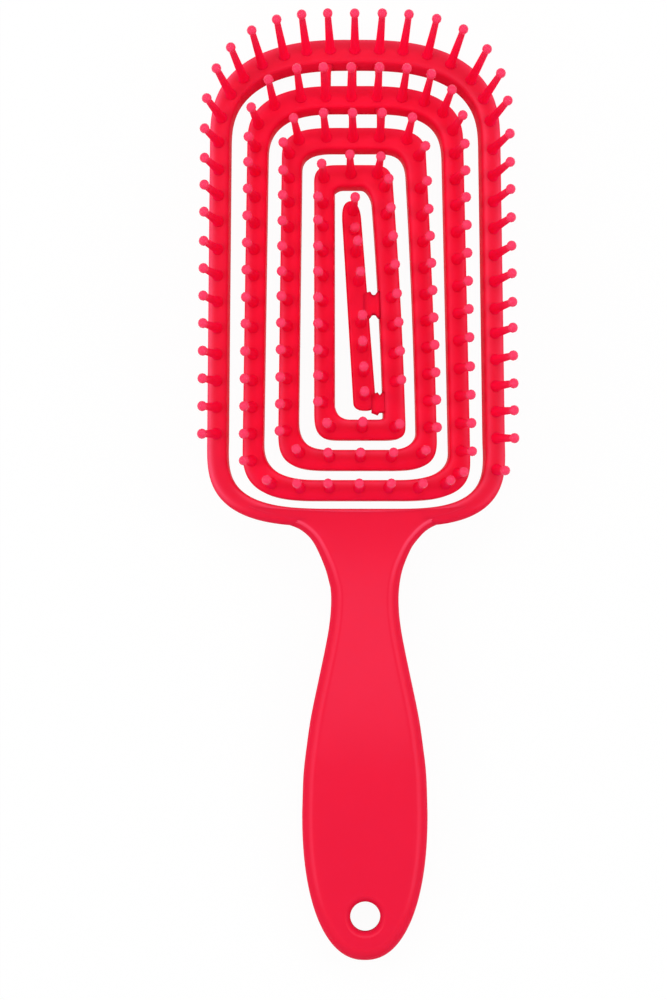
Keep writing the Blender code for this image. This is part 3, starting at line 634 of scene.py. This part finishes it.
# Pins of the outer loop: forty in one row round it, moulded in one with it. Each is a tapering
# stem with a flared foot and a small ball for a tip, and leans outwards as the face does.
PIN_HEIGHT = 15.12 * MM
BALL_RADIUS = 1.34 * MM
NECK_RADIUS = 0.86 * MM
STEM_RADIUS = 1.23 * MM
FOOT_FLARE = 0.35 * MM
FLARE_HEIGHT = 0.40 * MM
PIN_ROOT = 0.5 * MM
PIN_SIDES = 12
BALL_STEPS = 6
CORNER_PIN_SHIFT = 0.7 * MM
STEM_PALING = 0.25
LEAST_RISE = 0.04
STEM_SHARE = 0.8
STEM_LEVELS = np.array((0.0, 0.35, 0.9, 2.2, 8.0)) * MM
OUTER_PINS = [((-37.5, 14.6), (-37.2, 64.1), 8, 1), ((-37.1, 71.6), (-36.8, 85.7), 3, 1),
              ((-36.7, 93.4), (-33.6, 106.7), 3, 1), ((-30.5, 111.6), (-13.5, 118.7), 4, 1),
              ((-7.2, 119.4), (24.7, 114.9), 6, 1), ((30.4, 110.9), (35.7, 99.2), 3, 1),
              ((36.1, 91.3), (36.7, 47.9), 7, 1), ((36.8, 41.3), (37.3, 13.3), 5, 1),
              ((37.2, 4.9), (37.2, 4.9), 1, 0.4)]


def pin_places(loop, runs):
    """Feet and directions of a band's pins, evenly spaced along each run of them.

    A run is its first pin, its last pin, how many there are, and their share of the side lean.
    """
    line, normals = stations(band_line(loop), PIN_STATIONS)

    def nearest(place):
        """Index of the station nearest to a place."""
        return np.argmin(np.linalg.norm(line - np.array(place) * MM, axis=1))

    chosen, shares = [], []
    for first, last, count, share in runs:
        start, finish = nearest(first), nearest(last)
        finish += len(line) * (finish < start)
        chosen.append(np.linspace(start, finish, count).round().astype(int) % len(line))
        shares.append(np.full(count, share))
    chosen, shares = np.concatenate(chosen), np.concatenate(shares)
    spots, ways = line[chosen], normals[chosen]
    across, out = face_axes(loop, spots, ways, shares, loop["relief"])
    cornering = 2 * np.abs(ways[:, 0] * ways[:, 1])
    out[:, :2] += ways * (cornering * np.tan(radians(loop["corner_lean"])))[:, None]
    out = unit(out)
    shift = by_side(loop["pin_shifts"], ways) * MM + CORNER_PIN_SHIFT * cornering
    return np.column_stack((spots, 0 * shift)) + across * shift[:, None], out


def pin_profile(height):
    """Levels and radii of a pin from under its foot to the top of its ball.

    The stem tapers evenly, with FOOT_FLARE exp(-level / FLARE_HEIGHT) more at the foot, and has
    its levels in its lower STEM_SHARE. The ball is a sphere from where it is as wide as the neck.
    """
    start = np.arcsin(NECK_RADIUS / BALL_RADIUS)
    ball = np.linspace(start, pi, BALL_STEPS + 2)
    stem_top = height - BALL_RADIUS * np.cos(start)
    stem = STEM_LEVELS[STEM_LEVELS < stem_top * STEM_SHARE]
    taper = STEM_RADIUS + (NECK_RADIUS - STEM_RADIUS) * stem / stem_top
    levels = np.concatenate(([-PIN_ROOT], stem, height - BALL_RADIUS * np.cos(ball)))
    radii = np.concatenate(([STEM_RADIUS], taper + FOOT_FLARE * np.exp(-stem / FLARE_HEIGHT),
                            BALL_RADIUS * np.sin(ball)))
    radii[-1] = 0
    return levels, radii


def pins_piece(name, feet, out, height, material):
    """Pins on all the feet: the profile turned round each pin's own axis, in one mesh.

    The form's V is STEM_PALING times the height, plus the rest on a smooth step over the ball.
    """
    side = unit(np.cross(out, (0.0, 1.0, 0.0)))
    other = np.cross(out, side)
    levels, radii = pin_profile(height)
    around = np.linspace(0, 2 * pi, PIN_SIDES, endpoint=False)
    ring = side[:, None] * np.cos(around)[:, None] + other[:, None] * np.sin(around)[:, None]
    points = (feet[:, None, None] + out[:, None, None] * levels[:, None, None]
              + ring[:, None] * radii[:, None, None])
    rows = len(levels)
    one = grid_faces(rows, PIN_SIDES, False).tolist() + caps(rows, PIN_SIDES)[:1]
    faces = [[corner + pin * rows * PIN_SIDES for corner in face]
             for pin in range(len(feet)) for face in one]
    rise = STEM_PALING * np.clip(levels / height, LEAST_RISE, 1)
    rise = rise + (1 - STEM_PALING) * smooth_step(levels, height - 2 * BALL_RADIUS, height)
    form = np.zeros((*points.shape[:3], 2))
    form[..., 1] = rise[:, None]
    return add_piece(name, laid_down(points), faces, form, material)


feet, out = pin_places(OUTER, OUTER_PINS)
outer_pins = pins_piece("outer_pins", feet, out, PIN_HEIGHT, frame_plastic)
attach(outer_pins, "frame")
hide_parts("handle_frame")

# Rings 2, 3 and 4: closed bands of the same plastic, one in the other, each with its own row of
# pins. They hang in the loop by narrow links at the top, so that each can flex on its own.
RINGS = {
    "ring_2": dict(
        body="second_ring",
        runs=[((-27.7, 11.0), (-26.5, 91.3)), ((-7.0, 106.4), (4.0, 106.4)),
              ((25.7, 89.8), (27.4, 10.0)), ((13.0, -0.7), (-12.0, -0.7))],
        bows=(0, 0, 0, 0), squareness=(2.72, 2.82, 2.7, 2.57),
        outer_edge=dict(reaches=(3.0, 3.45, 3.0, 2.5), squareness=(2.5, 2.7, 3.1, 3.0),
                        starts=((-0.3, 2.6), (-2.0, -2.6), (3.3, 1.3), (-2.7, -2.5))),
        inner_edge=dict(reaches=(-2.5, -3.4, -2.5, -3.0), squareness=(2.65, 3.1, 2.4, 2.6),
                        starts=((-1.1, -2.0), (-2.0, -1.6), (-2.1, 0.4), (-2.4, -2.2))),
        leans=(7.7, 15.3, 11.1, -5.0), pin_shifts=(0.5, -0.5, 0.3, -0.9),
        relief=(0.3, 0.15, 0.3, 0), corner_lean=0,
        pins=[((-28.1, 7.3), (-27.2, 85.3), 12, 1), ((-26.9, 92.0), (-21.5, 103.0), 3, 1),
              ((-14.9, 104.8), (12.0, 105.4), 5, 1), ((17.6, 103.9), (25.5, 96.6), 3, 1),
              ((25.7, 90.0), (26.1, 75.8), 3, 1), ((26.3, 68.5), (27.9, 9.9), 9, 1),
              ((27.5, 3.7), (23.3, 1.7), 2, 0.5), ((16.3, 0.6), (-22.9, 1.4), 6, 0.7)]),
    "ring_3": dict(
        body="third_ring",
        runs=[((-18.6, 16.0), (-17.7, 87.0)), ((-7.0, 94.6), (5.0, 94.6)),
              ((16.05, 87.0), (18.8, 14.7)), ((9.0, 7.65), (-5.0, 7.65))],
        bows=(0, 0, 0.3, 0), squareness=(3.1, 3.05, 2.5, 2.5),
        outer_edge=dict(reaches=(2.55, 3.2, 2.6, 2.8), squareness=(3.1, 3.15, 3.35, 3.6),
                        starts=((-0.7, 1.6), (-1.9, -2.1), (2.4, 0.3), (-1.3, 0.4))),
        inner_edge=dict(reaches=(-2.75, -3.0, -2.75, -2.7), squareness=(2.55, 3.15, 2.05, 2.85),
                        starts=((-2.7, -1.2), (-0.6, -0.1), (-4.6, -0.2), (-0.1, 1.4))),
        leans=(6.6, 10.8, 8.0, -5.0), pin_shifts=(0.3, 0.1, 0.4, -0.8),
        relief=(0.38, 0.12, 0.42, 0), corner_lean=0,
        pins=[((-18.8, 15.4), (-18.5, 50.3), 6, 1), ((-18.4, 56.7), (-17.5, 90.1), 6, 1),
              ((-15.3, 93.7), (13.1, 93.8), 5, 1), ((16.3, 89.4), (16.9, 80.6), 2, 1),
              ((17.2, 73.1), (18.9, 16.2), 9, 1), ((17.2, 9.3), (-15.6, 9.0), 5, 0.6)]),
    "ring_4": dict(
        body="inner_ring",
        runs=[((-8.8, 21.0), (-8.8, 80.5)), ((-5.0, 84.5), (3.0, 84.5)),
              ((6.8, 80.1), (10.0, 19.5)), ((5.5, 15.6), (-3.5, 15.6))],
        bows=(0, 0, 0.35, 0), squareness=(2.2, 2.4, 3.0, 2.3),
        outer_edge=dict(reaches=(2.75, 2.85, 2.95, 2.65), squareness=(3.25, 3.35, 4.35, 3.5),
                        starts=((-0.5, 1.1), (-0.2, 0.3), (0.3, 0.7), (0.1, 0.9))),
        inner_edge=dict(reaches=(-2.6, -3.2, -2.8, -2.85), squareness=(1.6, 1.95, 2.7, 2.1),
                        starts=((-1.5, -0.6), (-1.2, -2.1), (-3.9, 0.2), (-0.4, -1.7))),
        leans=(5.2, 9.0, 6.5, -5.0), pin_shifts=(0.25, 0.1, 0.4, -0.7),
        relief=(0.4, 0.25, 0.45, 0), corner_lean=0,
        pins=[((-9.1, 23.0), (-9.1, 70.3), 8, 1), ((-9.1, 76.5), (-9.1, 76.5), 1, 1),
              ((-8.5, 83.4), (-8.5, 83.4), 1, 0.5), ((-1.6, 84.5), (5.2, 84.2), 2, 1),
              ((7.3, 81.1), (10.4, 28.6), 8, 1),
              ((9.7, 16.6), (-6.9, 16.7), 3, 0.8)]),
}
# Painted light on the rings' edges: a painted highlight where a side's value is above 0 and painted
# shade where it is below 0.
RING_SECTION = dict(outer_fillets=(0.85,) * 4, crowns=(0.25,) * 4,
                    growths=(0.0, 0.22, 0.05, 0.0), outer_painted_light=(1.0, 0.25, 0.6, -0.4),
                    inner_painted_light=(-0.3, 0.0, 0.4, 0.8))
# Edge is a painted highlight tint and Wall a painted shade tint. The rings' Base is lighter than
# the frame's though they are one plastic: painted light.
RING_TINTS = dict(Base=(0.94, 0.007, 0.046), Edge=(1.0, 0.060, 0.140),
                  Wall=(0.88, 0.006, 0.042), Tip=(1.0, 0.043, 0.130), Foot=(1.0, 0.005, 0.054))
ring_plastic = plastic("ring_plastic_look", finish, RING_TINTS, painted_highlight_amount=0.8)
for name, ring in RINGS.items():
    ring.update(RING_SECTION)
    ring_band = band_piece(name + "_band", ring, None, ring_plastic)
    feet, out = pin_places(ring, ring["pins"])
    ring_pins = pins_piece(name + "_pins", feet, out, PIN_HEIGHT, ring_plastic)
    for piece in (ring_band, ring_pins):
        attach(piece, ring["body"])
        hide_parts(name)

# Links: the narrow webs of the same plastic that join each ring to the one around it at the
# top, behind the faces. They swell where they run into the walls.
LINK_HALF = 0.8 * MM
LINK_SWELL = 0.5 * MM
LINK_STEPS = 12
LINK_SIDES = 16
LINK_SQUARENESS = 4
LINK_SWELL_POWER = 6
FACING_TOP = 0.7
LINK_BITE = 0.15 * MM
LINKS = [("frame_link_left", "outer", "ring_2", -7.9, "frame"),
         ("frame_link_middle", "outer", "ring_2", -0.9, "frame"),
         ("frame_link_right", "outer", "ring_2", 5.8, "frame"),
         ("ring_link_left", "ring_2", "ring_3", -8.8, "second_ring"),
         ("ring_link_middle", "ring_2", "ring_3", -1.4, "second_ring"),
         ("ring_link_right", "ring_2", "ring_3", 6.2, "second_ring"),
         ("inner_link", "ring_3", "ring_4", -1.8, "third_ring")]


def wall_point(loop, edge, bite, x):
    """Middle of a band's wall in its top run at x, a bite into the wall, and the wall's upright."""
    places, normals = stations(band_line(loop), PIN_STATIONS)
    top = normals[:, 1] > FACING_TOP
    spot = np.array([[x, np.interp(x, places[top, 0], places[top, 1])]])
    way = unit(np.array([[np.interp(x, places[top, 0], normals[top, axis]) for axis in (0, 1)]]))
    across, out = face_axes(loop, spot, way, 1)
    reach = distance_to(band_line(loop, edge), spot, way)[0] + bite
    return np.append(spot[0], 0) + across[0] * reach - out[0] * BAND_THICKNESS / 2, out[0]


def web(start, finish, up):
    """A squarish rod from start to finish: |u|^n + |v|^n = 1 times its half width.

    Its half width is LINK_HALF + LINK_SWELL (2t - 1)^6, with t from 0 to 1 along it.
    """
    share = np.linspace(0, 1, LINK_STEPS + 1)[:, None]
    around = np.linspace(0, 2 * pi, LINK_SIDES, endpoint=False)[None, :]
    bulge = (np.abs(np.cos(around)) ** LINK_SQUARENESS
             + np.abs(np.sin(around)) ** LINK_SQUARENESS) ** (-1 / LINK_SQUARENESS)
    size = (LINK_HALF + LINK_SWELL * (2 * share - 1) ** LINK_SWELL_POWER) * bulge
    side = unit(np.cross(finish - start, up))
    return (mixed(start, finish, share[..., None])
            + side * (size * np.cos(around))[..., None] + up * (size * np.sin(around))[..., None])


loops = dict(RINGS, outer=OUTER)
for name, outside, inside, x, body in LINKS:
    high, up = wall_point(loops[outside], "inner_edge", LINK_BITE, x * MM)
    low, _ = wall_point(loops[inside], "outer_edge", -LINK_BITE, x * MM)
    points = web(high, low, up)
    rows, columns = points.shape[:2]
    faces = grid_faces(rows, columns, False).tolist() + caps(rows, columns)
    link = add_piece(name + "_web", laid_down(points), faces, np.zeros((rows, columns, 2)),
                     ring_plastic)
    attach(link, body)
    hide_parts(name)

# Centre bar: a tapering tongue of the same plastic inside ring 4, with one row of pins down its
# middle. One of its pins is only a low stub.
BAR_TOP = np.array((-1.75, 77.2)) * MM
BAR_BOTTOM = np.array((2.15, 20.7)) * MM
BAR_HALVES = (2.50 * MM, 3.05 * MM)
BAR_END_REACH = (5.0 * MM, 2.2 * MM)
BAR_END_SQUARENESS = 2.4
BAR_STEPS = 120
BAR_CROWN = 0.2 * MM
BAR_FILLET_SHARE = 0.6
BAR_LEAST_FILLET = 0.2 * MM
BAR_PAINTED_LINE = 0.5
BAR_COLUMNS = 6
BAR_PIN_FEET = [(-1.1, 74.5), (-0.35, 63.3), (0.35, 55.4), (1.05, 44.3), (1.35, 37.7),
                (1.65, 31.2), (1.95, 24.9)]
BAR_PIN_LEANS = (2.3, 2.3, 2.2, 1.6, 0.8, 0.5, 0.3)
BAR_PIN_RISE = radians(1.5)
STUB_FOOT = (-0.7, 69.3)
STUB_HEIGHT = 3.0 * MM
# Edge is a painted highlight tint and Wall a painted shade tint.
BAR_TINTS = dict(Base=(0.94, 0.007, 0.046), Edge=(1.0, 0.050, 0.120),
                 Wall=(0.82, 0.003, 0.032), Tip=(1.0, 0.043, 0.130), Foot=(1.0, 0.005, 0.054))
bar_plastic = plastic("bar_plastic_look", finish, BAR_TINTS, painted_highlight_amount=0.6)

phase = np.linspace(0, pi, BAR_STEPS + 1)
share = (1 - np.cos(phase)) / 2
length = BAR_TOP[1] - BAR_BOTTOM[1]
from_top, from_bottom = share * length / BAR_END_REACH[0], (1 - share) * length / BAR_END_REACH[1]
rounding = [(1 - np.clip(1 - reach, 0, 1) ** BAR_END_SQUARENESS) ** (1 / BAR_END_SQUARENESS)
            for reach in (from_top, from_bottom)]
half = np.interp(share, (0, 1), BAR_HALVES) * rounding[0] * rounding[1]
middle = mixed(BAR_TOP, BAR_BOTTOM, share[:, None])
bar_left, bar_right = middle.copy(), middle.copy()
bar_left[:, 0] -= half
bar_right[:, 0] += half
steady = np.ones(len(share))
fillet = np.minimum(FACE_FILLET, half * BAR_FILLET_SHARE + BAR_LEAST_FILLET)
# The bar gets a painted highlight line along its edges and painted shade where they turn down and
# on its back.
bar_points, bar_form = plate(
    bar_left, bar_right, sag=0 * steady, crown=BAR_CROWN * steady, depth=BAND_THICKNESS * steady,
    face_radius=fillet, back_radius=BACK_FILLET * steady, painted_light=BAR_PAINTED_LINE * steady,
    face_painted_light=0 * steady, start_closed=True, columns=BAR_COLUMNS)
bar = add_piece("centre_bar_body", laid_down(bar_points),
                grid_faces(*bar_points.shape[:2], False).tolist(), bar_form, bar_plastic)
lean = np.radians(BAR_PIN_LEANS)
bar_out = unit(np.column_stack((np.sin(lean), np.full(len(lean), np.sin(BAR_PIN_RISE)),
                                np.cos(lean))))
bar_feet = np.column_stack((np.array(BAR_PIN_FEET) * MM, 0 * lean))
bar_pins = pins_piece("centre_bar_pins", bar_feet, bar_out, PIN_HEIGHT, bar_plastic)
stub = pins_piece("centre_bar_stub", np.array([(*STUB_FOOT, 0.0)]) * MM, bar_out[:1], STUB_HEIGHT,
                  bar_plastic)
for piece in (bar, bar_pins, stub):
    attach(piece, "inner_ring")
    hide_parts("centre_bar")

# Bridges: two short webs, as thick as the bar, that hold it to the right side of ring 4. The
# slots between them end in half circles, so each bridge is narrowest in its middle. Each is
# given by its lowest and highest y in the middle, and by where its lower half circle ends.
BRIDGE_TURNS = (8, 172)
BRIDGES = {"bar_bridge_upper": (47.2, 50.8, 172), "bar_bridge_lower": (20.9, 24.1, 90)}
BRIDGE_BITE = 0.35 * MM
BRIDGE_STEPS = 24
BRIDGE_DROP = 0.02 * MM
RIGHT_RUN_X = 3.8 * MM
ring_4_edge = band_line(RINGS["ring_4"], "inner_edge")
right_run = ring_4_edge[ring_4_edge[:, 0] > RIGHT_RUN_X]
for name, (low_y, high_y, lower_turn) in BRIDGES.items():
    middle_y = (low_y + high_y) / 2 * MM
    left_x = np.interp(-middle_y, -bar_right[:, 1], bar_right[:, 0])
    right_x = np.interp(-middle_y, -right_run[:, 1], right_run[:, 0])
    radius = (right_x - left_x) / 2
    turn = np.radians(np.linspace(*BRIDGE_TURNS, BRIDGE_STEPS + 1))
    x = left_x + radius * (1 - np.cos(turn))
    x[0], x[-1] = left_x - BRIDGE_BITE, right_x + BRIDGE_BITE
    upper = np.column_stack((x, high_y * MM + radius * (1 - np.sin(turn))))
    sweep = np.minimum(turn, radians(lower_turn))
    lower = np.column_stack((x, low_y * MM - radius * (1 - np.sin(sweep))))
    steady = np.ones(len(x))
    # The bridges get no painted highlight line, but the plate's painted shade where their edges
    # turn down and on their backs.
    points, form = plate(
        lower[::-1], upper[::-1], sag=0 * steady, crown=BRIDGE_DROP * steady,
        depth=(BAND_THICKNESS - BRIDGE_DROP) * steady, face_radius=FACE_FILLET * steady,
        back_radius=BACK_FILLET * steady, painted_light=0 * steady, face_painted_light=0 * steady,
        start_closed=False, columns=BAR_COLUMNS)
    rows, columns = points.shape[:2]
    faces = grid_faces(rows, columns, False).tolist() + caps(rows, columns)
    bridge = add_piece(name + "_web", laid_down(points), faces, form, bar_plastic)
    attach(bridge, "inner_ring")
    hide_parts(name)

# Floor: one plain pale sheet under the brush. It is white to the camera, to gloss and through
# glass, and keeps a little of the brush's shadow.
FLOOR_HALF = 4.0
FLOOR_WHITE = (0.92, 0.92, 0.92, 1)
FLOOR_ROUGHNESS = 0.9
SHADOW_KEPT = 0.04
floor_mesh = bpy.data.meshes.new("floor")
corners = np.array(((-1, -1, 0), (1, -1, 0), (1, 1, 0), (-1, 1, 0))) * FLOOR_HALF
floor_mesh.from_pydata(corners.tolist(), [], [(0, 1, 2, 3)])
floor = bpy.data.objects.new("floor", floor_mesh)
bpy.context.collection.objects.link(floor)
floor_look = bpy.data.materials.new("floor_look")
floor_look.use_nodes = True
nodes, links = floor_look.node_tree.nodes, floor_look.node_tree.links
pale = nodes["Principled BSDF"]
pale.inputs["Base Color"].default_value = FLOOR_WHITE
pale.inputs["Roughness"].default_value = FLOOR_ROUGHNESS
pale.inputs["Specular IOR Level"].default_value = 0.0
white = nodes.new("ShaderNodeEmission")
white.inputs["Color"].default_value = (1, 1, 1, 1)
rays = nodes.new("ShaderNodeLightPath")
seen = rays.outputs["Is Camera Ray"]
for kind in ("Is Glossy Ray", "Is Transmission Ray"):
    either = nodes.new("ShaderNodeMath")
    either.operation = "MAXIMUM"
    links.new(seen, either.inputs[0])
    links.new(rays.outputs[kind], either.inputs[1])
    seen = either.outputs["Value"]
share_white = nodes.new("ShaderNodeMath")
share_white.operation = "MULTIPLY"
share_white.inputs[1].default_value = 1 - SHADOW_KEPT
links.new(seen, share_white.inputs[0])
blend = nodes.new("ShaderNodeMixShader")
links.new(share_white.outputs["Value"], blend.inputs["Fac"])
links.new(pale.outputs["BSDF"], blend.inputs[1])
links.new(white.outputs["Emission"], blend.inputs[2])
links.new(blend.outputs["Shader"], nodes["Material Output"].inputs["Surface"])
floor_mesh.materials.append(floor_look)

# Studio: a pale room that is a little brighter overhead than at the horizon, and three soft
# boxes: one beyond the head, and a stronger one on each side.
HORIZON_LEVEL = 0.68
ZENITH_LEVEL = 0.70
SOFT_BOXES = [("key_light", (0.0, 0.65, 1.00), 0.55, 2.1),
              ("left_light", (-0.95, 0.05, 0.80), 0.45, 3.4),
              ("right_light", (0.95, 0.05, 0.80), 0.45, 2.8)]
world = bpy.data.worlds.new("studio")
world.use_nodes = True
bpy.context.scene.world = world
nodes, links = world.node_tree.nodes, world.node_tree.links
direction = nodes.new("ShaderNodeTexCoord")
split = nodes.new("ShaderNodeSeparateXYZ")
level = nodes.new("ShaderNodeMapRange")
level.inputs["To Min"].default_value = HORIZON_LEVEL
level.inputs["To Max"].default_value = ZENITH_LEVEL
links.new(direction.outputs["Generated"], split.inputs["Vector"])
links.new(split.outputs["Z"], level.inputs["Value"])
links.new(level.outputs["Result"], nodes["Background"].inputs["Strength"])
nodes["Background"].inputs["Color"].default_value = (1, 1, 1, 1)
for name, place, size, watts in SOFT_BOXES:
    lamp = bpy.data.lights.new(name, "AREA")
    lamp.shape = "SQUARE"
    lamp.size = size
    lamp.energy = watts
    box = bpy.data.objects.new(name, lamp)
    box.location = place
    box.rotation_euler = Vector(place).to_track_quat("Z", "Y").to_euler()
    bpy.context.collection.objects.link(box)

# Camera: nearly square to the handle, from far off through a long lens, as the photograph was
# taken. It leans a little towards the head, which evens out what perspective is left.
FRAME_HEIGHT = 1000 * 4 / 15 * MM
FRAME_MIDDLE = laid_down(np.array((-6.267, -3.12, 0.0)) * MM)
CAMERA_DISTANCE = 7.0
CAMERA_LEAN = radians(0.8)
SENSOR = 36.0
camera = bpy.data.objects.new("camera", bpy.data.cameras.new("camera"))
camera.data.sensor_width = SENSOR
camera.data.lens = SENSOR * CAMERA_DISTANCE / FRAME_HEIGHT
camera_turn = LYING_TURN - CAMERA_LEAN
towards = np.array((0, -np.sin(camera_turn), np.cos(camera_turn)))
camera.location = FRAME_MIDDLE + towards * CAMERA_DISTANCE
camera.rotation_euler.x = camera_turn
bpy.context.collection.objects.link(camera)
bpy.context.scene.camera = camera
bpy.context.scene.view_settings.view_transform = "Standard"
